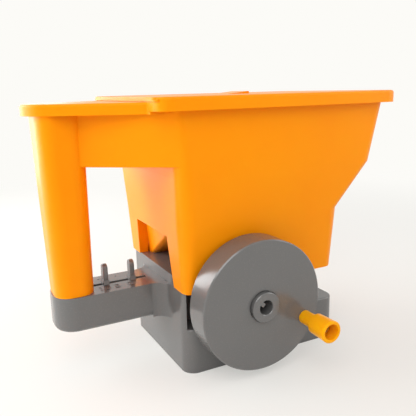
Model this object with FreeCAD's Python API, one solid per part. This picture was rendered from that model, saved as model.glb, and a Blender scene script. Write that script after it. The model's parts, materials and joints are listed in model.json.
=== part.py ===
import FreeCAD, Part
import math
import os

from FreeCAD import Vector

# Dial seed sower: a hand-cranked seed hopper with a loop handle.
# X runs from the handle to the throwing side, Y to the side away from the
# crank, Z up from the table. All sizes are in millimetres.

# Shared walls and clearances
wall = 2.2
baseWall = 2.8
seat = 0.3
slip = 0.3
runClear = 0.06
fitClear = 0.05

# How far a cut runs past a face, and how far fused pieces sink into each other
past = 1.0
bite = 0.5

# How closely an edge's height has to match when it is looked up
edgeMatch = 0.01

# Base skirt: the low box that stands on the table, open below
skirtLength = 167.5
skirtHalf = 65.4
skirtHeight = 42.3
skirtCorner = 12.0
ledgeRound = 1.6
windowHalf = 44.0
windowLow = 7.0
windowHigh = 34.0
windowCorner = 5.0

# Gear housing: the block that rises from the skirt under the hopper
housingLength = 150.0
housingNear = 41.5
housingFar = 62.0
housingTop = 87.1
housingCorner = 5.0
wingTop = 76.9

# Arm: the hollow bar from the housing to the foot of the grip
armLength = 101.0
armHalf = 22.7
armTop = 76.8
armBottom = 43.7
armEnd = 19.0
armEdge = 6.0
armBlend = 14.0
slotWidth = 5.0
slotFront = 11.8
slotInset = 1.0
plugHeight = 13.0
hatchLength = 78.0
hatchHalf = 15.0
hatchRear = 14.0
hatchSkin = 1.4
hatchCorner = 4.0
hatchHoleCorner = 3.0

# Grip: the upright oval column at the back
gripRear = 99.5
gripFront = 64.8
gripHalf = 21.3
gripTopRear = 102.7
gripTopFront = 64.3
gripTopHalf = 24.0
gripCorner = 14.0
gripWall = 2.6

# Beam: the flared bridge from the grip to the hopper
beamDepth = 52.3
beamWaist = 77.0
beamWaistHalf = 18.0
beamWall = 2.4
beamEdge = 1.0

# Hopper: four levels from the mouth to the hem of its apron
rimRise = 3.9
lipDepth = 10.9
rimRear = 27.5
rimFront = 217.6
rimHalf = 90.0
rimCorner = 14.0
rimEdge = 2.4
flangeTop = 242.3
lipRear = 13.7
lipFront = 7.3
lipSide = 8.9
mouthCorner = 10.0
shoulderHeight = 179.6
shoulderRear = 6.8
shoulderFront = 198.4
shoulderHalf = 78.2
shoulderCorner = 12.0
waistHeight = 137.0
waistRear = 4.5
waistFront = 163.7
waistHalf = 74.8
waistCorner = 14.0
hemHeight = 77.2
hemRear = 0.6
hemFront = 159.9
hemHalf = 68.8
hemCorner = 9.0

# Handle deck: the flat plate round the top of the grip and beam
deckDepth = 9.3
deckEnd = 112.0
deckEndHalf = 29.0
deckInset = 13.0
deckEdge = 2.4
deckBlend = 4.5

# Sloping hopper floor and its outlet above the housing
slopeHigh = 131.0
slopeRear = 6.0
slopeFront = 152.0
slopeNear = 36.0
slopeFar = 70.0
slopeCorner = 8.0
outletRear = 12.0
outletFront = 66.0
outletNear = 36.0
outletFar = 56.0
outletCorner = 3.0

# Opening in the back of the apron
archHeight = 124.5
archTopHalf = 38.0
archBottomHalf = 43.0
jambDepth = 8.0

# Lid that slides back over the handle deck
lidFrontMargin = 6.0
lidSideMargin = 7.8
tongueMargin = 5.0
tongueThick = 1.4
lidCorner = 11.0
lidRearCorner = 7.0
lidSink = 0.2
lidSkin = 1.6
rampFront = 96.6
rampLength = 24.0
rampHalf = 16.0
rampRise = 2.3

# Crank wheel
wheelX = 58.4
wheelZ = 67.4
wheelRadius = 59.0
wheelGap = 2.3
wheelDepth = 24.8
wheelFace = 3.0
wheelRim = 2.6
wheelEdge = 1.0
ribCount = 8
ribThick = 2.0
ribDepth = 15.0
hubRadius = 11.0
hubRoom = 0.8
dialRadius = 13.5
dialProud = 4.0
dialGroove = 0.9
dialGrooveDepth = 1.6
dialBore = 6.5
dialBoreDepth = 12.0
dialEdge = 0.6
keySize = 3.6

# Axle and its bushes
axleRadius = 4.0
nutRadius = 5.6
nutHeight = 3.0
bushWall = 1.6
bushFlange = 1.6
bossRadius = 9.0
bossOut = 20.5
bossIn = 10.0
washerThick = 1.2
bracketNear = 13.0
bracketThick = 6.0
bracketHalf = 11.0
clipThick = 1.0
clipRadius = 6.5
clipBite = 0.7

# Knob on the wheel
knobReach = 47.4
knobAngle = -24.1
knobLength = 37.6
knobNeck = 6.2
knobNeckLength = 14.5
knobGrip = 9.2
knobEnd = 10.0
knobHollow = 7.0
knobHollowDepth = 13.0
knobShoulder = 2.2
pinRadius = 3.0
pinHead = 5.4
pinHeadThick = 2.4
pinBoss = 6.5
pinBossDepth = 12.0

# Face gear on the axle and the pinion that it drives
module = 1.0
crownTeeth = 30
pinionTeeth = 10
toothHeight = 2.1
toothTip = 0.9
toothRoot = 1.9
toothInner = 13.4
toothOuter = 16.3
crownPlate = 4.0
crownTip = 2.0
crownHub = 8.0
crownHubLength = 2.6
pinionAddendum = 0.8
pinionDedendum = 1.2
pinionTip = 0.7
pinionBase = 1.5
pinionLength = 6.0

# Upright spindle, agitator and throwing disc
spindleRadius = 2.5
spindleBottom = 18.0
spindleRise = 8.0
spindleSleeve = 6.5
sleeveTop = 121.0
stirHeight = 4.0
stirHub = 6.0
stirReach = 25.0
stirWire = 1.5
stirRoot = 1.0
discRadius = 50.0
discBottom = 26.0
discThick = 2.0
discHub = 8.5
discHubTop = 33.0
discHubDrop = 4.0
discFlat = 0.6
vaneCount = 6
vaneHeight = 7.5
vaneThick = 1.8
vaneInner = 13.0
vaneBend = 70.0
vaneInset = 1.0
capNut = 4.6
capNutHeight = 5.0
capNutEdge = 1.2

# Floor plate below the gears, with its chute
plateThick = 2.8
plateRear = 8.0
plateFront = 147.0
plateNear = 37.6
plateFar = 58.5
holeRear = 18.0
holeFront = 138.0
holeNear = 29.0
holeFar = 53.8
bearingRadius = 7.0
bearingTop = 48.2
bearingFlange = 0.8
bearingBottom = 34.6
bearingLift = 6.0
chuteWall = 2.0

# Metering gate: fixed plate, sliding plate and its bar
gapRear = 34.0
gapLength = 16.0
gapNear = 33.0
gapWidth = 16.0
gateThick = 2.7
gateLap = 3.0
gateRear = 22.0
gateFront = 53.0
barHalf = 6.0
barFront = 38.0
barCorner = 2.0
footCorner = 1.0
sillThick = 2.7
sillRear = 20.0
sillFront = 58.0
wellWall = 2.0

# Levers in the arm slot
leverWidth = 9.0
leverThick = 4.4
leverHeight = 19.4
leverFootWidth = 11.0
leverFootThick = 5.6
leverFootHeight = 4.0
shutterPlace = 26.0
stopPlace = 51.5
stopFoot = 3.0

# Screws
screwRadius = 1.75
screwHead = 3.2
screwHeadThick = 1.8
screwBoss = 4.2
screwGrip = 10.0
screwShift = 1.0
screwCap = 1.0
hopperScrewNear = 34.0
hopperScrewRear = 26.0
hopperScrewFront = 134.0
hopperScrewFar = 44.0
hopperScrewMid = 88.0

# Places worked out from the sizes above
mouthRear = rimRear - lipRear
mouthFront = rimFront - lipFront
mouthHalf = rimHalf - lipSide
deckFrontHalf = rimHalf - deckInset
lidRear = rimRear - slip
lidFront = rimFront - lidFrontMargin
lidHalf = rimHalf - lidSideMargin
tongueHalf = rimHalf - tongueMargin
spindleTop = sleeveTop + spindleRise
rimTop = flangeTop + rimRise
rimBottom = rimTop - lipDepth
deckBottom = flangeTop - deckDepth
beamBottom = flangeTop - beamDepth
lidTop = rimTop - lidSink
legFront = hemCorner - hemRear
wheelBack = -wheelGap - hemHalf - (waistHalf - hemHalf) * (
    wheelZ + wheelRadius - hemHeight) / (waistHeight - hemHeight)
hubNeck = hemHeight - wheelZ - hubRoom
wheelFront = wheelBack - wheelDepth
knobX = wheelX + knobReach * math.cos(math.radians(knobAngle))
knobZ = wheelZ + knobReach * math.sin(math.radians(knobAngle))
knobTip = wheelFront - knobLength
pinionRadius = module * pinionTeeth / 2
spindleY = crownTip - 0.9 * module + pinionRadius
meshHeight = wheelZ - (toothInner + toothOuter) / 2
plateTop = skirtHeight - baseWall
housingRoof = housingTop - baseWall
armRoof = armTop - baseWall
gateTop = armRoof - seat
gateBottom = gateTop - gateThick
sillTop = gateBottom - seat
sillBottom = sillTop - sillThick
bearingZ = plateTop - plateThick
sleeveRadius = bushWall + spindleRadius + runClear
lidBottom = flangeTop + seat
grooveTop = lidBottom + tongueThick + seat

# The frame's origin: middle of the outer box, on the table
originX = (rimFront - deckEnd) / 2
originY = (rimHalf + knobTip) / 2


def save(name, shape):
    placed = shape.removeSplitter()
    placed.translate(Vector(-originX, -originY, 0))
    placed.exportStep("parts/" + name + ".step")
    print(name, len(placed.Solids), "solids", round(placed.Volume), "mm3", placed.isValid())


def rectangle(x0, x1, y0, y1, corner, z):
    # a rounded rectangle as one closed wire, always from the same corner
    r = corner
    mid = r * (1 - math.sqrt(0.5))
    corners = [
        (Vector(x1 - r, y0, z), Vector(x1 - mid, y0 + mid, z), Vector(x1, y0 + r, z)),
        (Vector(x1, y1 - r, z), Vector(x1 - mid, y1 - mid, z), Vector(x1 - r, y1, z)),
        (Vector(x0 + r, y1, z), Vector(x0 + mid, y1 - mid, z), Vector(x0, y1 - r, z)),
        (Vector(x0, y0 + r, z), Vector(x0 + mid, y0 + mid, z), Vector(x0 + r, y0, z)),
    ]
    edges = []
    last = corners[-1][2]
    for start, through, end in corners:
        edges.append(Part.makeLine(last, start))
        edges.append(Part.Arc(start, through, end).toShape())
        last = end
    return Part.Wire(edges)


def slab(x0, x1, y0, y1, corner, z0, z1):
    return Part.Face(rectangle(x0, x1, y0, y1, corner, z0)).extrude(Vector(0, 0, z1 - z0))


def box(x0, x1, y0, y1, z0, z1):
    return Part.makeBox(x1 - x0, y1 - y0, z1 - z0, Vector(x0, y0, z0))


def outline(points, height):
    # a closed flat outline through the points, drawn up by the height
    wire = Part.makePolygon(points + [points[0]])
    return Part.Face(wire).extrude(height)


def upright(radius, x, y, z0, z1):
    return Part.makeCylinder(radius, z1 - z0, Vector(x, y, z0))


def lying(radius, x, z, y0, y1):
    return Part.makeCylinder(radius, y1 - y0, Vector(x, y0, z), Vector(0, 1, 0))


def turned(points, x, z):
    # a profile of radius and Y pairs, turned about a line along Y
    wire = Part.makePolygon([Vector(x + r, y, z) for r, y in points + [points[0]]])
    return Part.Face(wire).revolve(Vector(x, 0, z), Vector(0, 1, 0), 360)


def spun(points, x, y):
    # a profile of radius and Z pairs, turned about an upright line
    wire = Part.makePolygon([Vector(x + r, y, z) for r, z in points + [points[0]]])
    return Part.Face(wire).revolve(Vector(x, y, 0), Vector(0, 0, 1), 360)


def upEdges(shape, z0, z1):
    # the upright straight edges that span from one height to the other
    found = []
    for edge in shape.Edges:
        b = edge.BoundBox
        if abs(b.ZMin - z0) < edgeMatch and abs(b.ZMax - z1) < edgeMatch and b.XLength + b.YLength < edgeMatch:
            found.append(edge)
    return found


def levelEdges(shape, z):
    return [e for e in shape.Edges if abs(e.BoundBox.ZMin - z) < edgeMatch and abs(e.BoundBox.ZMax - z) < edgeMatch]


def rounded(shape, radius, edges):
    return shape.makeFillet(radius, edges)


def hopperShell(inset, low, high):
    # the hopper's four levels, drawn in by the inset and cut to the heights
    levels = [
        (hemHeight, hemRear, hemFront, hemHalf, hemCorner),
        (waistHeight, waistRear, waistFront, waistHalf, waistCorner),
        (shoulderHeight, shoulderRear, shoulderFront, shoulderHalf, shoulderCorner),
        (flangeTop, mouthRear, mouthFront, mouthHalf, mouthCorner),
    ]
    wires = []
    for z, rear, front, half, corner in levels:
        wires.append(rectangle(-rear + inset, front - inset, -half + inset, half - inset, corner - inset, z))
    body = Part.makeLoft(wires, True, True)
    reach = rimFront + deckEnd
    return body.common(box(-reach, reach, -reach, reach, low, high))


def slopingFloor(grow, drop):
    # the funnel from the waist to the outlet, which lies towards the far side
    g = grow
    wires = [
        rectangle(-waistRear + wall - g, waistFront - wall + g, -waistHalf + wall - g,
                  waistHalf - wall + g, slopeCorner + g, waistHeight - drop),
        rectangle(slopeRear - g, slopeFront + g, -slopeNear - g, slopeFar + g,
                  slopeCorner + g, slopeHigh - drop),
        rectangle(outletRear - g, outletFront + g, outletNear - g, outletFar + g,
                  outletCorner + g, housingTop),
    ]
    return Part.makeLoft(wires, True, True)


def rim():
    # a turned-down lip round the mouth, with grooves that carry the lid
    lip = slab(-rimRear, rimFront, -rimHalf, rimHalf, rimCorner, rimBottom, rimTop)
    lip = rounded(lip, rimEdge, levelEdges(lip, rimTop))
    under = slab(-rimRear + wall, rimFront - wall, -rimHalf + wall, rimHalf - wall,
                 rimCorner - wall, rimBottom - past, flangeTop - wall)
    lip = lip.cut(under)
    start = -rimRear - 2 * lidCorner
    lip = lip.cut(slab(start, lidFront + slip, -lidHalf - slip, lidHalf + slip,
                       lidCorner + slip, flangeTop, rimTop + past))
    return lip.cut(slab(start, lidFront + slip, -tongueHalf - slip, tongueHalf + slip,
                        lidCorner + slip, flangeTop, grooveTop))


def deckLine():
    # where the deck's far side leaves its round tail, and the way it faces
    centre = -deckEnd + deckEndHalf
    front = -rimRear + rimCorner
    run = math.hypot(front - centre, deckFrontHalf)
    lean = math.atan2(deckFrontHalf, front - centre) + math.acos(deckEndHalf / run)
    return centre, front, lean


def deckPlan(inset, z0, z1):
    # the handle deck: round behind the grip, flared to the back of the rim
    centre, front, lean = deckLine()
    r = deckEndHalf - inset
    touchX = centre + r * math.cos(lean)
    touchY = r * math.sin(lean)
    half = (r + (centre - front) * math.cos(lean)) / math.sin(lean)
    near = Vector(front, -half, z0)
    far = Vector(front, half, z0)
    farTouch = Vector(touchX, touchY, z0)
    nearTouch = Vector(touchX, -touchY, z0)
    tail = Part.Arc(farTouch, Vector(centre - r, 0, z0), nearTouch).toShape()
    wire = Part.Wire([
        Part.makeLine(near, far),
        Part.makeLine(far, farTouch),
        tail,
        Part.makeLine(nearTouch, near),
    ])
    return Part.Face(wire).extrude(Vector(0, 0, z1 - z0))


def deckSweep(side, z0, z1):
    # the hollow curve that leads the deck's side into the rim's round corner
    centre, front, lean = deckLine()
    out = Vector(math.cos(lean), math.sin(lean), 0)
    along = Vector(math.sin(lean), -math.cos(lean), 0)
    touch = Vector(centre, 0, 0) + out * deckEndHalf
    hub = Vector(front, rimHalf - rimCorner, 0)
    start = touch + out * deckBlend - hub
    b = start.dot(along)
    c = start.dot(start) - (rimCorner + deckBlend) ** 2
    reach = -b - math.sqrt(b * b - c)
    middle = hub + start + along * reach
    onDeck = middle - out * deckBlend
    onRim = hub + (middle - hub) * (rimCorner / (rimCorner + deckBlend))
    half = (onDeck + onRim) / 2 - middle
    half.normalize()
    through = middle + half * deckBlend
    points = [Vector(v.x, side * v.y, z0) for v in (onDeck, through, onRim, hub)]
    wire = Part.Wire([
        Part.Arc(points[0], points[1], points[2]).toShape(),
        Part.makeLine(points[2], points[3]),
        Part.makeLine(points[3], points[0]),
    ])
    return Part.Face(wire).extrude(Vector(0, 0, z1 - z0))


def deck():
    plate = deckPlan(0, deckBottom, flangeTop)
    plate = plate.fuse([deckSweep(-1, deckBottom, flangeTop), deckSweep(1, deckBottom, flangeTop)])
    plate = plate.removeSplitter()
    inRim = slab(-rimRear, rimFront, -rimHalf, rimHalf, rimCorner, deckBottom - past, rimTop)
    free = [e for e in levelEdges(plate, flangeTop) if not inRim.isInside(e.CenterOfMass, fitClear, True)]
    plate = rounded(plate, deckEdge, free)
    return plate.cut(deckPlan(wall, deckBottom - past, flangeTop - wall))


def gripLoft(inset, z0, z1):
    # the oval grip, a little fuller at the top
    wires = []
    for z in (z0, z1):
        t = (z - armTop) / (beamBottom - armTop)
        rear = gripRear + (gripTopRear - gripRear) * t
        front = gripFront + (gripTopFront - gripFront) * t
        half = gripHalf + (gripTopHalf - gripHalf) * t
        wires.append(rectangle(-rear + inset, -front - inset, -half + inset, half - inset,
                               gripCorner - inset, z))
    return Part.makeLoft(wires, True, True)


def beamPlan(inset, z):
    # the flared bridge at one height; its sides run tangent to the hopper's corners
    t = (z - shoulderHeight) / (flangeTop - shoulderHeight)
    corner = shoulderCorner + (mouthCorner - shoulderCorner) * t
    hubX = corner - shoulderRear - (mouthRear - shoulderRear) * t
    hubY = shoulderHalf + (mouthHalf - shoulderHalf) * t - corner
    run = math.hypot(hubX + beamWaist, hubY - beamWaistHalf)
    angle = math.atan2(hubY - beamWaistHalf, hubX + beamWaist) + math.asin(corner / run)
    touchX = hubX - (corner - inset) * math.sin(angle)
    touchY = hubY + (corner - inset) * math.cos(angle)
    half = beamWaistHalf - inset
    waistX = touchX - (touchY - half) / math.tan(angle)
    side = [(gripCorner - gripTopRear, half), (waistX, half), (touchX, touchY), (hubX, hubY)]
    points = [Vector(x, -y, z) for x, y in side] + [Vector(x, y, z) for x, y in reversed(side)]
    return Part.makePolygon(points + [points[0]])


def beamLoft(inset, z0, z1):
    return Part.makeLoft([beamPlan(inset, z0), beamPlan(inset, z1)], True, True)


def hopper():
    # one moulding: hopper, rim, handle deck, beam and grip
    shell = hopperShell(0, hemHeight, flangeTop)
    beam = beamLoft(0, beamBottom, flangeTop)
    beam = rounded(beam, beamEdge, sideEdges(beam, beamBottom))
    grip = gripLoft(0, armTop, flangeTop)
    body = shell.fuse([rim(), deck(), beam, grip])

    handleRoom = beamLoft(beamWall, beamBottom + beamWall, flangeTop - wall)
    handleRoom = handleRoom.fuse(gripLoft(gripWall, armTop - past, flangeTop - wall))
    handleRoom = handleRoom.cut(shell)

    floorSolid = slopingFloor(wall, wall)
    apron = hopperShell(wall, hemHeight, waistHeight - wall)
    posts = Part.makeCompound([upright(screwBoss, x, y, housingTop, waistHeight)
                               for x, y in hopperScrewPlaces()])
    apron = apron.cut(floorSolid).cut(posts.Solids[0])
    for post in posts.Solids[1:]:
        apron = apron.cut(post)

    body = body.cut([handleRoom, apron, hopperShell(wall, waistHeight, flangeTop), slopingFloor(0, 0)])
    body = body.fuse(jamb())
    body = body.cut(box(-rimRear, legFront, 0, rimHalf, hemHeight - past, housingTop))
    body = body.fuse(upright(spindleSleeve, wheelX, spindleY, housingTop, sleeveTop))
    body = body.cut(upright(spindleRadius + slip, wheelX, spindleY, housingTop - past, sleeveTop + past))
    body = body.cut(upright(sleeveRadius, wheelX, spindleY, housingTop - past, housingTop + bearingLift))
    for x, y in hopperScrewPlaces():
        body = body.cut(upright(screwRadius + fitClear, x, y, housingTop - past, housingTop + screwGrip + past))
    return body.cut(archway())


def sideEdges(shape, z):
    # the two long lower edges of the beam's flared sides
    found = []
    for edge in levelEdges(shape, z):
        if edge.BoundBox.XLength > beamWaistHalf:
            found.append(edge)
    return found


def archPrism(grow, depth):
    # the opening in the back of the apron, a little wider at the hem
    x = -waistRear - wall
    points = [
        Vector(x, -archBottomHalf - grow, hemHeight - past),
        Vector(x, -archTopHalf - grow, archHeight + grow),
        Vector(x, archTopHalf + grow, archHeight + grow),
        Vector(x, archBottomHalf + grow, hemHeight - past),
    ]
    return outline(points, Vector(depth - x, 0, 0))


def archway():
    # stops behind the back wall, well short of the sloping floor
    return archPrism(0, wall + past)


def jamb():
    # the turned-in walls round the opening, which stand on the housing
    frame = archPrism(wall, jambDepth).common(hopperShell(0, housingTop, waistHeight))
    return frame.cut(archPrism(0, jambDepth + past))


def hopperScrewPlaces():
    return [
        (hopperScrewRear, -hopperScrewNear),
        (hopperScrewFront, -hopperScrewNear),
        (hopperScrewFront, hopperScrewFar),
        (hopperScrewMid, outletFar - screwBoss - wall),
    ]


def plateScrewPlaces():
    rear = (plateRear + holeRear) / 2 - screwShift
    front = (plateFront + holeFront) / 2 + screwShift
    near = -(plateNear + holeNear) / 2
    far = (plateFar + holeFar) / 2
    return [(rear, near), (front, near), (front, far), (rear, far)]


def armOuter():
    # the arm with a rounded end, rounded lower edges and blended roots
    end = -armLength
    bar = slab(end, skirtCorner, -armHalf, armHalf, armEnd, armBottom, armTop)
    bar = rounded(bar, armEdge, levelEdges(bar, armBottom))
    for side in (-1, 1):
        root = box(-armBlend, baseWall, min(side * armHalf, side * (armHalf + armBlend)),
                   max(side * armHalf, side * (armHalf + armBlend)), armBottom, armTop)
        scoop = upright(armBlend, -armBlend, side * (armHalf + armBlend), armBottom - past, armTop + past)
        bar = bar.fuse(root.cut(scoop))
    return bar


def base():
    # skirt, gear housing and arm in one moulding
    skirt = slab(0, skirtLength, -skirtHalf, skirtHalf, skirtCorner, 0, skirtHeight)
    skirt = rounded(skirt, ledgeRound, levelEdges(skirt, skirtHeight))
    wing = slab(0, skirtLength, -skirtHalf, skirtHalf, skirtCorner, skirtHeight - baseWall, wingTop)
    wing = wing.common(box(0, baseWall, -skirtHalf, skirtHalf, 0, wingTop))
    house = slab(0, housingLength, -housingNear, housingFar, housingCorner,
                 skirtHeight - baseWall, housingTop)
    boss = lying(bossRadius, wheelX, wheelZ, -housingNear - bossOut, -housingNear + bossIn)
    body = skirt.fuse([wing, house, boss, armOuter()])

    room = slab(baseWall, skirtLength - baseWall, -skirtHalf + baseWall, skirtHalf - baseWall,
                skirtCorner - baseWall, -past, skirtHeight - baseWall)
    gearRoom = slab(baseWall, housingLength - baseWall, -housingNear + baseWall,
                    housingFar - baseWall, housingCorner - baseWall, skirtHeight, housingRoof)
    gearRoom = gearRoom.cut(lying(bossRadius, wheelX, wheelZ, -housingNear, -housingNear + bossIn))
    armRoom = slab(-armLength + baseWall, armEnd + baseWall, -armHalf + baseWall,
                   armHalf - baseWall, armEnd - baseWall, armBottom + baseWall, armRoof)
    body = body.cut([room, gearRoom, armRoom])
    body = body.cut(slab(holeRear, holeFront, -holeNear, holeFar, housingCorner,
                         plateTop - past, skirtHeight + past))

    body = body.fuse([bracket(), well(), gripPlug()])
    for x, y in plateScrewPlaces():
        body = body.fuse(upright(screwBoss, x, y, skirtHeight - baseWall, skirtHeight + screwGrip))
        body = body.cut(upright(screwRadius + fitClear, x, y, plateTop - past, skirtHeight + screwGrip - screwCap))
    for x, y in hopperScrewPlaces():
        body = body.cut(upright(screwRadius + fitClear, x, y, housingRoof - past, housingTop + past))

    bush = axleRadius + runClear + bushWall
    body = body.cut(lying(bush, wheelX, wheelZ, -housingNear - bossOut - past, -housingNear + bossIn + past))
    body = body.cut(lying(bush, wheelX, wheelZ, -bracketNear - past, -bracketNear + bracketThick + past))
    body = body.cut(upright(sleeveRadius, wheelX, spindleY, housingRoof - past, housingTop + past))
    body = body.cut(wellRoom())
    body = body.cut(box(-gripFront + slotInset, -slotFront, -slotWidth / 2, slotWidth / 2, armRoof - past, armTop + past))
    body = body.cut(throwWindow())
    return body.cut(hatchOpening())


def bracket():
    # the hanging web that carries the inner end of the axle
    web = box(wheelX - bracketHalf, wheelX + bracketHalf, -bracketNear, -bracketNear + bracketThick,
              wheelZ, housingRoof)
    return web.fuse(lying(bracketHalf, wheelX, wheelZ, -bracketNear, -bracketNear + bracketThick))


def well():
    # the walls that lead from the hopper's outlet to the gate
    w = wellWall
    return Part.makeLoft([
        rectangle(outletRear - w, outletFront + w, outletNear - w, outletFar + w,
                  outletCorner + w, housingRoof),
        rectangle(gapRear - w, gapRear + gapLength + w, gapNear - w, gapNear + gapWidth + w,
                  outletCorner + w, gateTop + seat),
    ], True, True)


def wellRoom():
    lower = Part.makeLoft([
        rectangle(outletRear, outletFront, outletNear, outletFar, outletCorner, housingRoof),
        rectangle(gapRear, gapRear + gapLength, gapNear, gapNear + gapWidth, outletCorner, gateTop + seat),
    ], True, True)
    upper = slab(outletRear, outletFront, outletNear, outletFar, outletCorner, housingRoof, housingTop + past)
    foot = slab(gapRear, gapRear + gapLength, gapNear, gapNear + gapWidth, outletCorner,
                gateTop, gateTop + seat)
    return lower.fuse([upper, foot])


def gripPlug():
    # the hollow upstand inside the foot of the grip
    g = gripWall + slip
    outer = slab(-gripRear + g, -gripFront - g, -gripHalf + g, gripHalf - g, gripCorner - g,
                 armRoof, armTop + plugHeight)
    i = g + baseWall
    inner = slab(-gripRear + i, -gripFront - i, -gripHalf + i, gripHalf - i, gripCorner - i,
                 armTop, armTop + plugHeight + past)
    return outer.cut(inner)


def throwWindow():
    # the wide window at the front, through which the seed is thrown
    tool = slab(windowLow, windowHigh, -windowHalf, windowHalf, windowCorner, 0, 2 * skirtCorner)
    tool.rotate(Vector(0, 0, 0), Vector(0, 1, 0), -90)
    tool.translate(Vector(skirtLength + skirtCorner, 0, 0))
    return tool


def hatchOpening():
    # the recess and the hole for the hatch under the arm
    rear = -armLength + hatchRear
    hole = slab(rear + baseWall, rear + hatchLength - baseWall, -hatchHalf + baseWall,
                hatchHalf - baseWall, hatchHoleCorner, armBottom - past, armBottom + baseWall + past)
    step = slab(rear, rear + hatchLength, -hatchHalf, hatchHalf, hatchCorner,
                armBottom - past, armBottom + hatchSkin)
    return hole.fuse(step)


def hatch():
    # the flush cover under the arm
    rear = -armLength + hatchRear
    g = slip
    lidPlate = slab(rear + g, rear + hatchLength - g, -hatchHalf + g, hatchHalf - g, hatchCorner - g,
                    armBottom, armBottom + hatchSkin)
    g = slip + baseWall
    inner = slab(rear + g, rear + hatchLength - g, -hatchHalf + g, hatchHalf - g, hatchHoleCorner - slip,
                 armBottom + hatchSkin, armBottom + baseWall)
    return lidPlate.fuse(inner)


def gearPlate():
    # the floor under the gears: spindle bearing, chute and screw holes
    plate = slab(plateRear, plateFront, -plateNear, plateFar, housingCorner, bearingZ, plateTop)
    plate = plate.fuse(upright(bearingRadius, wheelX, spindleY, bearingBottom, bearingTop))
    w = chuteWall
    chute = slab(gapRear - w, gapRear + gapLength + w, gapNear - w, gapNear + gapWidth + w,
                 outletCorner + w, bearingZ, sillBottom)
    plate = plate.fuse(chute)
    plate = plate.cut(slab(gapRear, gapRear + gapLength, gapNear, gapNear + gapWidth, outletCorner,
                           bearingZ - past, sillBottom + past))
    plate = plate.cut(upright(sleeveRadius, wheelX, spindleY, bearingBottom - past, bearingTop + past))
    for x, y in plateScrewPlaces():
        plate = plate.cut(upright(screwRadius + fitClear, x, y, bearingZ - past, plateTop + past))
    return plate


def sill():
    # the fixed metering plate on top of the chute
    w = chuteWall
    plate = slab(sillRear, sillFront, gapNear - w - gateLap, gapNear + gapWidth + w, barCorner,
                 sillBottom, sillTop)
    return plate.cut(slab(gapRear, gapRear + gapLength, gapNear, gapNear + gapWidth, outletCorner,
                          sillBottom - past, sillTop + past))


def leverBlade(place, foot):
    # a thin upright lever with a round top, on a small foot with a pointer
    z0 = armTop + slip
    z1 = armTop + leverHeight
    half = leverWidth / 2
    x0 = -place - leverThick / 2
    arc = Part.Arc(Vector(x0, half, z1 - half), Vector(x0, 0, z1), Vector(x0, -half, z1 - half)).toShape()
    wire = Part.Wire([
        Part.makeLine(Vector(x0, -half, z1 - half), Vector(x0, -half, z0)),
        Part.makeLine(Vector(x0, -half, z0), Vector(x0, half, z0)),
        Part.makeLine(Vector(x0, half, z0), Vector(x0, half, z1 - half)),
        arc,
    ])
    blade = Part.Face(wire).extrude(Vector(leverThick, 0, 0))
    side = [e for e in blade.Edges if e.BoundBox.XLength < edgeMatch and e.BoundBox.ZMax > z0 + 1]
    blade = rounded(blade, leverThick / 5, side)
    footHalf = leverFootWidth / 2
    z2 = z0 + leverFootHeight
    x1 = -place - leverFootThick / 2
    points = [
        Vector(x1, -footHalf, z0),
        Vector(x1, footHalf, z0),
        Vector(x1, half, z2),
        Vector(x1, -half, z2),
    ]
    skirtPiece = outline(points, Vector(leverFootThick, 0, 0))
    stem = box(-place - foot, -place + foot, -slotWidth / 2 + slip, slotWidth / 2 - slip, gateTop, z0)
    return blade.fuse([skirtPiece, stem])


def shutter():
    # front lever, its bar under the arm's roof and the sliding gate
    rear = -shutterPlace - stopFoot
    corner = -shutterPlace
    points = [
        Vector(rear, -barHalf, gateBottom),
        Vector(barFront, -barHalf, gateBottom),
        Vector(barFront, gapNear - gateLap, gateBottom),
        Vector(gateFront, gapNear - gateLap, gateBottom),
        Vector(gateFront, gapNear + gapWidth + gateLap, gateBottom),
        Vector(gateRear, gapNear + gapWidth + gateLap, gateBottom),
        Vector(gateRear, barHalf, gateBottom),
        Vector(rear, barHalf, gateBottom),
    ]
    plate = outline(points, Vector(0, 0, gateThick))
    plate = rounded(plate, barCorner, upEdges(plate, gateBottom, gateTop))
    return plate.fuse(leverBlade(shutterPlace, stopFoot))


def doseStop():
    # rear lever: clamps lightly round the slot and stops the front one
    foot = slab(-stopPlace - stopFoot, -stopPlace + stopFoot, -barHalf, barHalf, footCorner,
                gateBottom, gateTop)
    return foot.fuse(leverBlade(stopPlace, stopFoot))


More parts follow.
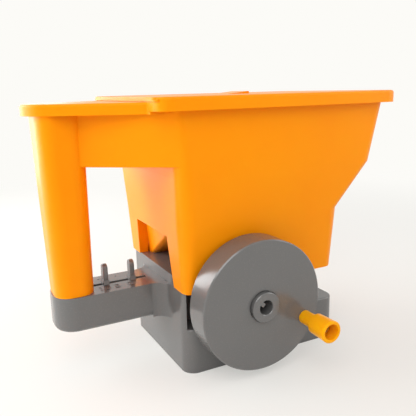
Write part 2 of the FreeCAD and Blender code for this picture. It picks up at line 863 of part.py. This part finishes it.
def crankWheel():
    # a cup-shaped wheel: flat face, deep rim, hub, ribs and a boss for the knob
    y0 = wheelFront
    y1 = wheelBack
    r = wheelRadius
    e = wheelEdge
    cup = turned([
        (0, y0), (r - e, y0), (r, y0 + e), (r, y1), (r - wheelRim, y1),
        (r - wheelRim, y0 + wheelFace), (0, y0 + wheelFace),
    ], wheelX, wheelZ)
    hubEnd = -housingNear - bossOut - washerThick - 2 * seat
    cup = cup.fuse(lying(hubRadius, wheelX, wheelZ, y0 + past, y1))
    cup = cup.fuse(lying(hubNeck, wheelX, wheelZ, y0 + past, hubEnd))
    cup = cup.fuse(lying(pinBoss, knobX, knobZ, y0 + past, y0 + wheelFace + pinBossDepth))
    spokes = []
    for i in range(ribCount):
        rib = box(hubRadius - bite, r - wheelRim + bite, -ribThick / 2, ribThick / 2, 0, ribDepth)
        rib.rotate(Vector(0, 0, 0), Vector(1, 0, 0), -90)
        rib.rotate(Vector(0, 0, 0), Vector(0, 1, 0), 360 * (i + 0.5) / ribCount)
        rib.translate(Vector(wheelX, y0 + wheelFace - bite, wheelZ))
        spokes.append(rib)
    cup = cup.fuse(spokes)
    groove = turned([
        (dialRadius, y0 - past), (dialRadius + dialGroove, y0 - past),
        (dialRadius + dialGroove, y0 + dialGrooveDepth), (dialRadius, y0 + dialGrooveDepth),
    ], wheelX, wheelZ)
    cup = cup.cut(groove)
    cup = cup.cut(lying(dialBore + fitClear, wheelX, wheelZ, y0 - past, y0 + dialBoreDepth))
    cup = cup.cut(lying(axleRadius + fitClear, wheelX, wheelZ, y0 - past, hubEnd + past))
    return cup.cut(lying(pinRadius + fitClear, knobX, knobZ, y0 - past, y0 + wheelFace + pinBossDepth + past))


def dialCap():
    # the raised ring in the middle of the wheel, with a key in its bore
    y0 = wheelFront - dialProud
    e = dialEdge
    ring = turned([
        (dialBore, y0 + e), (dialBore + e, y0), (dialRadius - e, y0), (dialRadius, y0 + e),
        (dialRadius, wheelFront), (dialBore, wheelFront),
    ], wheelX, wheelZ)
    key = box(wheelX - keySize / 2, wheelX + keySize / 2, y0 + e, wheelFront,
              wheelZ + dialBore - keySize, wheelZ + dialBore + bite)
    key.rotate(Vector(wheelX, 0, wheelZ), Vector(0, 1, 0), -45)
    return ring.fuse(key)


def axle():
    # the steel axle with a flat head in the dial and a groove for its clip
    y0 = wheelFront + dialBoreDepth - nutHeight
    end = crownTip - toothHeight
    rod = lying(axleRadius, wheelX, wheelZ, y0, end + 2 * clipThick)
    head = lying(nutRadius, wheelX, wheelZ, y0, y0 + nutHeight)
    groove = turned([
        (axleRadius - clipBite, end), (axleRadius + past, end),
        (axleRadius + past, end + clipThick + fitClear), (axleRadius - clipBite, end + clipThick + fitClear),
    ], wheelX, wheelZ)
    return rod.fuse(head).cut(groove)


def clip():
    # the open ring that keeps the face gear on the axle
    end = crownTip - toothHeight
    ring = lying(clipRadius, wheelX, wheelZ, end, end + clipThick)
    ring = ring.cut(lying(axleRadius - clipBite + fitClear, wheelX, wheelZ, end - past, end + clipThick + past))
    return ring.cut(box(wheelX - axleRadius / 2, wheelX + axleRadius / 2, end - past, end + clipThick + past,
                        wheelZ - clipRadius, wheelZ))


def bush(y0, y1, flangeAt):
    # a plain flanged bush on the axle
    r0 = axleRadius + runClear
    r1 = r0 + bushWall - fitClear
    sleeve = lying(r1, wheelX, wheelZ, y0, y1)
    sleeve = sleeve.fuse(lying(r1 + bushFlange, wheelX, wheelZ, min(flangeAt, flangeAt + washerThick),
                               max(flangeAt, flangeAt + washerThick)))
    return sleeve.cut(lying(r0, wheelX, wheelZ, y0 - 2 * washerThick, y1 + 2 * washerThick))


def crownGear():
    # the face gear: radial teeth on a plate
    root = crownTip - toothHeight
    plate = lying(toothOuter, wheelX, wheelZ, root - crownPlate, root)
    plate = plate.fuse(lying(crownHub, wheelX, wheelZ, root - crownPlate - crownHubLength, root))
    mean = module * crownTeeth / 2
    teeth = []
    for i in range(crownTeeth):
        angle = 360 * (i + 0.5) / crownTeeth
        wires = []
        for radius in (toothInner, toothOuter):
            scale = radius / mean
            tip = toothTip * scale / 2
            foot = toothRoot * scale / 2
            wires.append(Part.makePolygon([
                Vector(radius, root - bite, -foot), Vector(radius, root, -foot),
                Vector(radius, crownTip, -tip), Vector(radius, crownTip, tip),
                Vector(radius, root, foot), Vector(radius, root - bite, foot),
                Vector(radius, root - bite, -foot),
            ]))
        tooth = Part.makeLoft(wires, True, True)
        tooth.rotate(Vector(0, 0, 0), Vector(0, 1, 0), 90 + angle)
        tooth.translate(Vector(wheelX, 0, wheelZ))
        teeth.append(tooth)
    plate = plate.fuse(teeth)
    return plate.cut(lying(axleRadius + fitClear, wheelX, wheelZ, -wheelRadius, wheelRadius))


def pinion():
    # the small gear on the spindle, one tooth towards the face gear
    z0 = meshHeight - pinionLength / 2
    root = pinionRadius - pinionDedendum
    tip = pinionRadius + pinionAddendum
    body = upright(root, wheelX, spindleY, z0, z0 + pinionLength)
    teeth = []
    for i in range(pinionTeeth):
        points = [
            Vector(root - bite, -pinionBase / 2, 0), Vector(tip, -pinionTip / 2, 0),
            Vector(tip, pinionTip / 2, 0), Vector(root - bite, pinionBase / 2, 0),
        ]
        tooth = outline(points, Vector(0, 0, pinionLength))
        tooth.rotate(Vector(0, 0, 0), Vector(0, 0, 1), -90 + 360 * i / pinionTeeth)
        tooth.translate(Vector(wheelX, spindleY, z0))
        teeth.append(tooth)
    body = body.fuse(teeth)
    return body.cut(upright(spindleRadius + fitClear / 2, wheelX, spindleY, z0 - past, z0 + pinionLength + past))


def spindle():
    return upright(spindleRadius, wheelX, spindleY, spindleBottom, spindleTop)


def lowerBearing():
    # flanged sleeve in the floor plate
    r0 = spindleRadius + runClear
    r1 = sleeveRadius - fitClear
    sleeve = upright(r1, wheelX, spindleY, bearingBottom, bearingTop)
    sleeve = sleeve.fuse(upright(r1 + bushWall, wheelX, spindleY, bearingTop, bearingTop + bearingFlange))
    return sleeve.cut(upright(r0, wheelX, spindleY, bearingBottom - past, bearingTop + bearingFlange + past))


def upperBearing():
    r0 = spindleRadius + runClear
    r1 = sleeveRadius - fitClear
    sleeve = upright(r1, wheelX, spindleY, housingRoof, housingTop + bearingLift - seat)
    return sleeve.cut(upright(r0, wheelX, spindleY, housingRoof - past, housingTop + bearingLift + past))


def agitator():
    # a hub with two bent fingers that stir the seed
    z = spindleTop - stirHeight / 2
    hub = upright(stirHub, wheelX, spindleY, sleeveTop + slip, spindleTop)
    hub = hub.cut(upright(spindleRadius + fitClear, wheelX, spindleY, sleeveTop - past, spindleTop + past))
    fingers = []
    for side in (-1, 1):
        start = Vector(wheelX, spindleY + side * (spindleRadius + stirRoot), z)
        finger = Part.makeCylinder(stirWire, stirReach, start, Vector(0, side, 0))
        tip = Part.makeCylinder(stirWire, 3 * stirHeight, start + Vector(0, side * stirReach, 0),
                                Vector(0, 0, 1))
        ball = Part.makeSphere(stirWire, start + Vector(0, side * stirReach, 0))
        fingers = fingers + [finger, tip, ball]
    return hub.fuse(fingers)


def throwDisc():
    # the spinning disc: a dished plate, a hub and curved vanes
    x = wheelX
    y = spindleY
    top = discBottom + discThick
    dish = spun([
        (0, discBottom), (discRadius * discFlat, discBottom), (discRadius, discBottom + discThick),
        (discRadius, top + discThick), (discRadius * discFlat, top), (0, top),
    ], x, y)
    dish = dish.fuse(upright(discHub, x, y, discBottom - discHubDrop, discHubTop))
    vanes = []
    for i in range(vaneCount):
        arcRadius = vaneBend
        start = Vector(vaneInner, 0, 0)
        end = Vector(discRadius - vaneInset, 0, 0)
        mid = Vector((vaneInner + discRadius - vaneInset) / 2, arcRadius - math.sqrt(
            arcRadius ** 2 - ((discRadius - vaneInset - vaneInner) / 2) ** 2), 0)
        shift = Vector(0, vaneThick, 0)
        inner = Part.Arc(start, mid, end).toShape()
        outer = Part.Arc(start + shift, mid + shift, end + shift).toShape()
        wire = Part.Wire([inner, Part.makeLine(end, end + shift), outer,
                          Part.makeLine(start + shift, start)])
        vane = Part.Face(wire).extrude(Vector(0, 0, vaneHeight))
        vane.rotate(Vector(0, 0, 0), Vector(0, 0, 1), 360 * i / vaneCount)
        vane.translate(Vector(x, y, top - bite))
        vanes.append(vane)
    dish = dish.fuse(vanes)
    dish = dish.common(upright(discRadius, x, y, 0, housingTop))
    return dish.cut(upright(spindleRadius + fitClear, x, y, 0, housingTop))


def discNut():
    # the domed nut that holds the disc on the spindle
    z = discBottom - discHubDrop
    nut = upright(capNut, wheelX, spindleY, z - capNutHeight, z)
    nut = rounded(nut, capNutEdge, levelEdges(nut, z - capNutHeight))
    return nut.cut(upright(spindleRadius + fitClear, wheelX, spindleY, spindleBottom - fitClear, z + past))


def knob():
    # a stepped grip that widens to its hollow end
    y0 = wheelFront - seat
    y1 = knobTip
    neck = y0 - knobNeckLength
    bore = pinRadius + runClear
    e = wheelEdge
    return turned([
        (bore, y0), (knobNeck, y0), (knobNeck, neck), (knobGrip, neck - knobShoulder),
        (knobEnd, y1 + e), (knobEnd - e, y1), (knobHollow + e / 2, y1), (knobHollow, y1 + e / 2),
        (knobHollow, y1 + knobHollowDepth), (bore, y1 + knobHollowDepth),
    ], knobX, knobZ)


def knobPin():
    # the headed pin on which the knob spins
    y1 = knobTip + knobHollowDepth - slip
    shank = lying(pinRadius, knobX, knobZ, y1 - pinHeadThick, wheelFront + wheelFace + pinBossDepth)
    head = lying(pinHead, knobX, knobZ, y1 - pinHeadThick, y1)
    return shank.fuse(head)


def screws(places, z0, grip):
    # flat-headed screws from below, one at each place
    pieces = []
    for x, y in places:
        shank = upright(screwRadius, x, y, z0, z0 + grip)
        pieces.append(shank.fuse(upright(screwHead, x, y, z0 - screwHeadThick, z0)))
    return Part.makeCompound(pieces)


def lidSlab(half, z1):
    # rounder corners in front, where they meet the rim, than behind
    front = slab(-lidRear, lidFront, -half, half, lidCorner, lidBottom, z1)
    rear = slab(-lidRear, lidFront - 2 * lidCorner, -half, half, lidRearCorner, lidBottom, z1)
    return front.fuse(rear)


def lid():
    # a rebated panel, hollow below, with a thumb ramp in the middle
    body = lidSlab(lidHalf, lidTop).fuse(lidSlab(tongueHalf, lidBottom + tongueThick))
    m = wall
    body = body.cut(slab(-lidRear + m, lidFront - m, -lidHalf + m, lidHalf - m, lidCorner - m,
                         lidBottom - past, lidTop - lidSkin))
    x0 = rampFront - rampLength
    points = [
        Vector(x0, -rampHalf, lidTop - bite),
        Vector(rampFront, -rampHalf, lidTop - bite),
        Vector(rampFront, -rampHalf, lidTop + rampRise),
        Vector(x0, -rampHalf, lidTop),
    ]
    return body.fuse(outline(points, Vector(0, 2 * rampHalf, 0)))


def main():
    os.makedirs("parts", exist_ok=True)
    near = -housingNear - bossOut
    inner = -bracketNear
    save("hopper", hopper())
    save("base", base())
    save("arm_hatch", hatch())
    save("gear_plate", gearPlate())
    save("metering_sill", sill())
    save("shutter", shutter())
    save("dose_stop", doseStop())
    save("lid", lid())
    save("crank_wheel", crankWheel())
    save("dial_cap", dialCap())
    save("axle", axle())
    save("axle_clip", clip())
    save("outer_bush", bush(near, -housingNear + bossIn, near - washerThick))
    save("inner_bush", bush(inner, inner + bracketThick, inner - washerThick))
    save("crown_gear", crownGear())
    save("pinion", pinion())
    save("spindle", spindle())
    save("lower_bearing", lowerBearing())
    save("upper_bearing", upperBearing())
    save("agitator", agitator())
    save("throw_disc", throwDisc())
    save("disc_nut", discNut())
    save("knob", knob())
    save("knob_pin", knobPin())
    save("hopper_screws", screws(hopperScrewPlaces(), housingRoof, screwGrip))
    save("plate_screws", screws(plateScrewPlaces(), bearingZ, screwGrip))


main()
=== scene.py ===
import bmesh
import bpy
import json
import math
from mathutils import Matrix, Vector


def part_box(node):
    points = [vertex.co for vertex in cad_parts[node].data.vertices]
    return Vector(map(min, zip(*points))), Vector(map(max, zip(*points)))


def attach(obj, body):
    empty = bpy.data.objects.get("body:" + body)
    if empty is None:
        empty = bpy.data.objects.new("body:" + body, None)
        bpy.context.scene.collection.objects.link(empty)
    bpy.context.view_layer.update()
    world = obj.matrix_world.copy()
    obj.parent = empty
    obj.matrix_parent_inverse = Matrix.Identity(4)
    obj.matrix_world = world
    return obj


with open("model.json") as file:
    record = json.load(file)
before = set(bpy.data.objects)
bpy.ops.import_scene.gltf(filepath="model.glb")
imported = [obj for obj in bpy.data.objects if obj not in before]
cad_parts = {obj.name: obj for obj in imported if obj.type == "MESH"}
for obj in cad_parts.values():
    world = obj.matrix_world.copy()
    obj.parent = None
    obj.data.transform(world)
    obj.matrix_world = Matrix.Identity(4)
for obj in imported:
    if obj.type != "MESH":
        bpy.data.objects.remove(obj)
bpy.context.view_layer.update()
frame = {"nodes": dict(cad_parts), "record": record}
nodes = frame["nodes"]

# The solids are drawn from the back foot of the skirt, in millimetres, and the
# frame from the middle of the outer box, in metres. The hopper's rear end and far
# side are known in both, which gives the shift between the two.
perMetre = 1000
hopperRear = -112.0
hopperFar = 90.0
hopperLow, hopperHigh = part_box("hopper")
shift = Vector((hopperLow.x - hopperRear / perMetre, hopperHigh.y - hopperFar / perMetre, 0))


def place(x, y, z):
    # millimetres from the back foot of the skirt, turned to metres in the frame
    return Vector((x, y, z)) / perMetre + shift


def linear(hexColour):
    values = [int(hexColour[i:i + 2], 16) / 255 for i in (1, 3, 5)]
    return [v / 12.92 if v <= 0.04045 else ((v + 0.055) / 1.055) ** 2.4 for v in values] + [1]


def addNode(tree, kind, links=None, **settings):
    # one node with its settings, and links as socket: (node, output)
    node = tree.nodes.new(kind)
    for key, value in settings.items():
        if key == "inputs":
            for socket, number in value.items():
                node.inputs[socket].default_value = number
        else:
            setattr(node, key, value)
    for socket, (source, output) in (links or {}).items():
        tree.links.new(source.outputs[output], node.inputs[socket])
    return node


def newMaterial(name):
    material = bpy.data.materials.new(name)
    material.use_nodes = True
    material.node_tree.nodes.clear()
    return material


# The photograph's own viewpoint, found from its straight edges: place in
# millimetres, angles in degrees, focal length in pixels of the picture's width,
# sensor in millimetres, and the nearest distance drawn in metres
camera = {
    "from": (-176.12, -456.81, 251.18),
    "yaw": -27.12, "down": 12.74, "roll": -1.38,
    "focal": 527.05, "pixels": 416, "sensor": 36, "nearest": 0.01,
}


def makeCamera(c):
    yaw, down, roll = (math.radians(c[k]) for k in ("yaw", "down", "roll"))
    ahead = Vector((-math.sin(yaw) * math.cos(down),
                    math.cos(yaw) * math.cos(down),
                    -math.sin(down)))
    right = Vector((math.cos(yaw), math.sin(yaw), 0))
    up = right.cross(ahead)
    across = right * math.cos(roll) + up * math.sin(roll)
    above = up * math.cos(roll) - right * math.sin(roll)
    data = bpy.data.cameras.new("camera")
    data.sensor_width = c["sensor"]
    data.lens = c["focal"] / c["pixels"] * c["sensor"]
    data.clip_start = c["nearest"]
    holder = bpy.data.objects.new("camera", data)
    turn = Matrix((across, above, -ahead)).transposed().to_4x4()
    holder.matrix_world = Matrix.Translation(place(*c["from"])) @ turn
    bpy.context.scene.collection.objects.link(holder)
    bpy.context.scene.camera = holder


makeCamera(camera)
print("camera placed")

# A plastic's cloud, grain and speck sizes are in millimetres, its glowReach in metres.
# Real ABS has an index of about 1.53. The orange's is lower and the grey's higher,
# to give each the strength of reflection that the photograph shows.

# Orange ABS, satin moulded: strong colour under a soft gloss, and a slight red glow
# in thin places. The eroded mould's 0.35 mm grain is drawn at 0.6 mm so that it shows.
orangeAbs = {
    "name": "abs_orange_satin_moulded", "light": "#FF9A08", "dark": "#FB8E04",
    "cloud": 55, "grain": 0.6, "bump": 0.06, "roughLow": 0.30, "roughHigh": 0.40, "ior": 1.44,
    "sheen": "#FFB060", "glow": 0.08, "glowColour": "#FF5A00", "glowReach": 0.004, "specks": None,
}
# The same orange ABS drawn lighter and yellower for the knob: painted light, a lit copy of the
# hopper's orange
knobLitCopyAbs = dict(orangeAbs, name="abs_orange_satin_lit_copy_painted_light", light="#FFB20C", dark="#FFA606")
# Grey ABS, fine satin moulded: darker and glossier, so it takes the orange's
# reflection. Its 0.35 mm grain is drawn at 0.7 mm, with faint pale specks of 1.2 mm
# where it catches the light.
greyAbs = {
    "name": "abs_grey_satin_moulded", "light": "#666564", "dark": "#605F5E",
    "cloud": 45, "grain": 0.7, "bump": 0.03, "roughLow": 0.17, "roughHigh": 0.23, "ior": 1.68,
    "sheen": "#FFFFFF", "glow": 0.0, "glowColour": "#FFFFFF", "glowReach": 0.001,
    "specks": {"size": 1.2, "colour": "#8E8B86", "from": 0.58, "to": 0.72, "share": 0.1},
}
# Natural acetal, moulded: milky white and slippery, for bushes and gears
acetal = {
    "name": "acetal_natural_moulded", "light": "#E4E2DB", "dark": "#D8D5CC",
    "cloud": 20, "grain": 0.5, "bump": 0.05, "roughLow": 0.26, "roughHigh": 0.34, "ior": 1.48,
    "sheen": "#FFFFFF", "glow": 0.10, "glowColour": "#F2EEE0", "glowReach": 0.003, "specks": None,
}

# what all the plastics share: noise detail, the part of the noise that sets the
# gloss, and the grain's depth in metres
mould = {
    "cloudDetail": 3, "cloudRough": 0.5, "grainDetail": 2, "grainRough": 0.6,
    "speckDetail": 1, "speckRough": 0.4, "glossFrom": 0.3, "glossTo": 0.7, "depth": 0.0001,
}


def makePlastic(p):
    material = newMaterial(p["name"])
    tree = material.node_tree
    where = addNode(tree, "ShaderNodeTexCoord")
    at = (where, "Object")
    cloud = addNode(tree, "ShaderNodeTexNoise", {"Vector": at},
                    inputs={"Scale": perMetre / p["cloud"], "Detail": mould["cloudDetail"],
                            "Roughness": mould["cloudRough"]})
    grain = addNode(tree, "ShaderNodeTexNoise", {"Vector": at},
                    inputs={"Scale": perMetre / p["grain"], "Detail": mould["grainDetail"],
                            "Roughness": mould["grainRough"]})
    tint = addNode(tree, "ShaderNodeMix", {"Factor": (cloud, "Fac")}, data_type="RGBA")
    tint.inputs[6].default_value = linear(p["dark"])
    tint.inputs[7].default_value = linear(p["light"])
    colour = (tint, 2)
    if p["specks"]:
        speck = p["specks"]
        spots = addNode(tree, "ShaderNodeTexNoise", {"Vector": at},
                        inputs={"Scale": perMetre / speck["size"], "Detail": mould["speckDetail"],
                                "Roughness": mould["speckRough"]})
        share = addNode(tree, "ShaderNodeMapRange", {"Value": (spots, "Fac")},
                        inputs={"From Min": speck["from"], "From Max": speck["to"],
                                "To Max": speck["share"]})
        flecked = addNode(tree, "ShaderNodeMix", {"Factor": (share, "Result"), 6: (tint, 2)},
                          data_type="RGBA")
        flecked.inputs[7].default_value = linear(speck["colour"])
        colour = (flecked, 2)
    rough = addNode(tree, "ShaderNodeMapRange", {"Value": (grain, "Fac")},
                    inputs={"From Min": mould["glossFrom"], "From Max": mould["glossTo"],
                            "To Min": p["roughLow"], "To Max": p["roughHigh"]})
    relief = addNode(tree, "ShaderNodeBump", {"Height": (grain, "Fac")},
                     inputs={"Strength": p["bump"], "Distance": mould["depth"]})
    shader = addNode(tree, "ShaderNodeBsdfPrincipled",
                     {"Base Color": colour, "Roughness": (rough, "Result"),
                      "Normal": (relief, "Normal")},
                     inputs={"IOR": p["ior"], "Specular Tint": linear(p["sheen"]),
                             "Subsurface Weight": p["glow"],
                             "Subsurface Radius": linear(p["glowColour"])[:3],
                             "Subsurface Scale": p["glowReach"]})
    addNode(tree, "ShaderNodeOutputMaterial", {"Surface": (shader, "BSDF")})
    return material


# Zinc plated steel, turned: bright, with the fine unevenness of the plating
steel = {"name": "steel_zinc_plated_turned", "light": "#C9CBCC", "dark": "#AEB1B4",
         "grain": 0.8, "bump": 0.12, "roughLow": 0.24, "roughHigh": 0.36}
# Turned steel drawn near black for the axle's head: painted shade, for the head that sits deep in
# its bore
shadeDarkSteel = {"name": "steel_turned_painted_shade", "light": "#3A3A3C", "dark": "#262628",
              "grain": 0.8, "bump": 0.12, "roughLow": 0.38, "roughHigh": 0.5}
# what both steels share: noise detail and the unevenness's depth in metres
turned = {"detail": 3, "rough": 0.6, "depth": 0.00005}


def makeSteel(p):
    material = newMaterial(p["name"])
    tree = material.node_tree
    where = addNode(tree, "ShaderNodeTexCoord")
    grain = addNode(tree, "ShaderNodeTexNoise", {"Vector": (where, "Object")},
                    inputs={"Scale": perMetre / p["grain"], "Detail": turned["detail"],
                            "Roughness": turned["rough"]})
    tint = addNode(tree, "ShaderNodeMix", {"Factor": (grain, "Fac")}, data_type="RGBA")
    tint.inputs[6].default_value = linear(p["dark"])
    tint.inputs[7].default_value = linear(p["light"])
    rough = addNode(tree, "ShaderNodeMapRange", {"Value": (grain, "Fac")},
                    inputs={"To Min": p["roughLow"], "To Max": p["roughHigh"]})
    relief = addNode(tree, "ShaderNodeBump", {"Height": (grain, "Fac")},
                     inputs={"Strength": p["bump"], "Distance": turned["depth"]})
    shader = addNode(tree, "ShaderNodeBsdfPrincipled",
                     {"Base Color": (tint, 2), "Roughness": (rough, "Result"),
                      "Normal": (relief, "Normal")},
                     inputs={"Metallic": 1.0})
    addNode(tree, "ShaderNodeOutputMaterial", {"Surface": (shader, "BSDF")})
    return material


finishes = {
    "orange_plastic": makePlastic(orangeAbs),
    "grey_plastic": makePlastic(greyAbs),
    "pale_acetal": makePlastic(acetal),
    "plated_steel": makeSteel(steel),
    # the axle's head, near black: painted shade
    "dark_steel": makeSteel(shadeDarkSteel),
}
# the knob takes the lighter copy of the orange: painted light
paintedLightFinish = {"knob": makePlastic(knobLitCopyAbs)}
for part in frame["record"]["subparts"]:
    for materialSlot in nodes[part["node"]].material_slots:
        materialSlot.material = paintedLightFinish.get(part["node"], finishes[part["material_slot"]])

# Scale on the arm's top: moulded outline numbers on the near side, dots on the far
# side. Sizes and places in millimetres, the dot's ring angles in degrees.
scale = {
    "top": 76.8, "size": 12.5, "stroke": 0.2, "near": -13.0,
    "marks": [("0", -31.0), ("5", -43.5), ("10", -56.0)],
    "dots": [(-36.9, 14.6), (-54.4, 14.2)],
    "dotRadius": 1.1, "dotRise": 0.25, "dotSides": 20, "dotRings": (0, 30, 60),
    # the marks' and dots' dark colour is painted shade, not print
    "paintedShade": "#332A26", "paintedShadeGrain": 0.5, "paintedShadeRoughLow": 0.45, "paintedShadeRoughHigh": 0.6, "ior": 1.53,
}


def makePaintedShade(s):
    # the moulded marks are drawn dark: painted shade, for the shade their walls hold
    material = newMaterial("abs_grey_marks_painted_shade")
    tree = material.node_tree
    where = addNode(tree, "ShaderNodeTexCoord")
    grain = addNode(tree, "ShaderNodeTexNoise", {"Vector": (where, "Object")},
                    inputs={"Scale": perMetre / s["paintedShadeGrain"]})
    rough = addNode(tree, "ShaderNodeMapRange", {"Value": (grain, "Fac")},
                    inputs={"To Min": s["paintedShadeRoughLow"], "To Max": s["paintedShadeRoughHigh"]})
    shader = addNode(tree, "ShaderNodeBsdfPrincipled", {"Roughness": (rough, "Result")},
                     inputs={"Base Color": linear(s["paintedShade"]), "IOR": s["ior"]})
    addNode(tree, "ShaderNodeOutputMaterial", {"Surface": (shader, "BSDF")})
    return material


def makeDot(s, name, centre, paintedShade):
    # a low domed dot: rings that shrink as they rise
    mesh = bpy.data.meshes.new(name)
    shape = bmesh.new()
    rings = []
    turns = [2 * math.pi * k / s["dotSides"] for k in range(s["dotSides"])]
    for lean in s["dotRings"]:
        reach = s["dotRadius"] / perMetre * math.cos(math.radians(lean))
        rise = s["dotRise"] / perMetre * math.sin(math.radians(lean))
        corners = [Vector((reach * math.cos(t), reach * math.sin(t), rise)) for t in turns]
        rings.append([shape.verts.new(centre + corner) for corner in corners])
    for low, high in zip(rings, rings[1:]):
        for k in range(len(low)):
            after = (k + 1) % len(low)
            shape.faces.new((low[k], low[after], high[after], high[k]))
    shape.faces.new(rings[-1])
    shape.faces.new(list(reversed(rings[0])))
    shape.to_mesh(mesh)
    shape.free()
    # the dot is drawn dark like the marks: painted shade
    mesh.materials.append(paintedShade)
    for face in mesh.polygons:
        face.use_smooth = True
    dot = bpy.data.objects.new(name, mesh)
    bpy.context.scene.collection.objects.link(dot)
    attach(dot, "housing")


def makeScale(s):
    # one dark material for marks and dots: painted shade
    paintedShade = makePaintedShade(s)
    for text, x in s["marks"]:
        data = bpy.data.curves.new("scale_" + text, "FONT")
        data.body = text
        data.size = s["size"] / perMetre
        data.align_x = "CENTER"
        data.align_y = "CENTER"
        data.fill_mode = "NONE"  # the outline alone, as the mould has it
        data.bevel_depth = s["stroke"] / perMetre
        mark = bpy.data.objects.new("scale_" + text, data)
        mark.location = place(x, s["near"], s["top"])
        bpy.context.scene.collection.objects.link(mark)
        data.materials.append(paintedShade)
        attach(mark, "housing")
    for count, (x, y) in enumerate(s["dots"]):
        makeDot(s, "scale_dot_" + str(count + 1), place(x, y, s["top"]), paintedShade)


makeScale(scale)
print("scale drawn")

# A pale floor, an even world and four soft lamps. The lamps' places are in
# millimetres, all sizes and the floor's fade in metres, the lamps' power in watts.
# White is the strength at which the background shows as written.
studio = {
    "floorSize": 6.0, "floorColour": "#FCFBF7", "floorMatt": "#E4E2DE", "white": 1.0,
    "fadeFrom": 0.3, "fadeTo": 1.1, "nearGlow": 0.45,
    "worldColour": "#FFFFFF", "worldStrength": 0.58,
    "lamps": [
        {"name": "lamp_key", "at": (-420, -760, 900), "towards": (50, -20, 100),
         "size": 0.9, "power": 5.4},
        {"name": "lamp_rear", "at": (-880, 480, 360), "towards": (20, 0, 100),
         "size": 1.2, "power": 15.0},
        {"name": "lamp_back", "at": (-300, 900, 420), "towards": (0, 0, 90),
         "size": 1.0, "power": 5.0},
        {"name": "lamp_right", "at": (900, -500, 500), "towards": (60, -40, 90),
         "size": 0.8, "power": 2.4},
    ],
}


def seenRays(tree):
    # the eye, mirrors and glass see the pale ground; everything else sees the lit one
    ray = addNode(tree, "ShaderNodeLightPath")
    some = addNode(tree, "ShaderNodeMath", {0: (ray, "Is Camera Ray"), 1: (ray, "Is Glossy Ray")},
                   operation="MAXIMUM")
    return addNode(tree, "ShaderNodeMath", {0: (some, "Value"), 1: (ray, "Is Transmission Ray")},
                   operation="MAXIMUM")


def makeFloor(s):
    # paper that keeps the shadow near the object and fades into the background's white
    material = newMaterial("paper_white_matt")
    tree = material.node_tree
    where = addNode(tree, "ShaderNodeTexCoord")
    reach = addNode(tree, "ShaderNodeVectorMath", {0: (where, "Object")},
                    operation="LENGTH")
    fade = addNode(tree, "ShaderNodeMapRange", {"Value": (reach, "Value")},
                   interpolation_type="SMOOTHSTEP",
                   inputs={"From Min": s["fadeFrom"], "From Max": s["fadeTo"],
                           "To Min": s["nearGlow"]})
    both = addNode(tree, "ShaderNodeMath", {0: (fade, "Result"), 1: (seenRays(tree), "Value")},
                   operation="MULTIPLY")
    matt = addNode(tree, "ShaderNodeBsdfDiffuse", inputs={"Color": linear(s["floorMatt"])})
    glow = addNode(tree, "ShaderNodeEmission",
                   inputs={"Color": linear(s["floorColour"]), "Strength": s["white"]})
    mixed = addNode(tree, "ShaderNodeMixShader",
                    {0: (both, "Value"), 1: (matt, "BSDF"), 2: (glow, "Emission")})
    addNode(tree, "ShaderNodeOutputMaterial", {"Surface": (mixed, "Shader")})
    bpy.ops.mesh.primitive_plane_add(size=s["floorSize"], location=(0, 0, 0))
    floor = bpy.context.object
    floor.name = "floor"
    floor.data.materials.append(material)


def makeWorld(s):
    world = bpy.data.worlds.new("studio")
    world.use_nodes = True
    tree = world.node_tree
    tree.nodes.clear()
    dim = addNode(tree, "ShaderNodeBackground",
                  inputs={"Color": linear(s["worldColour"]), "Strength": s["worldStrength"]})
    bright = addNode(tree, "ShaderNodeBackground",
                     inputs={"Color": linear(s["floorColour"]), "Strength": s["white"]})
    mixed = addNode(tree, "ShaderNodeMixShader",
                    {0: (seenRays(tree), "Value"),
                     1: (dim, "Background"), 2: (bright, "Background")})
    addNode(tree, "ShaderNodeOutputWorld", {"Surface": (mixed, "Shader")})
    bpy.context.scene.world = world


def makeLamp(lamp):
    data = bpy.data.lights.new(lamp["name"], "AREA")
    data.shape = "DISK"
    data.size = lamp["size"]
    data.energy = lamp["power"]
    holder = bpy.data.objects.new(lamp["name"], data)
    start = place(*lamp["at"])
    aim = place(*lamp["towards"]) - start
    turn = aim.to_track_quat("-Z", "Y").to_matrix().to_4x4()
    holder.matrix_world = Matrix.Translation(start) @ turn
    bpy.context.scene.collection.objects.link(holder)


makeFloor(studio)
makeWorld(studio)
for lamp in studio["lamps"]:
    makeLamp(lamp)
bpy.context.scene.view_settings.view_transform = "Standard"
print("studio lit")
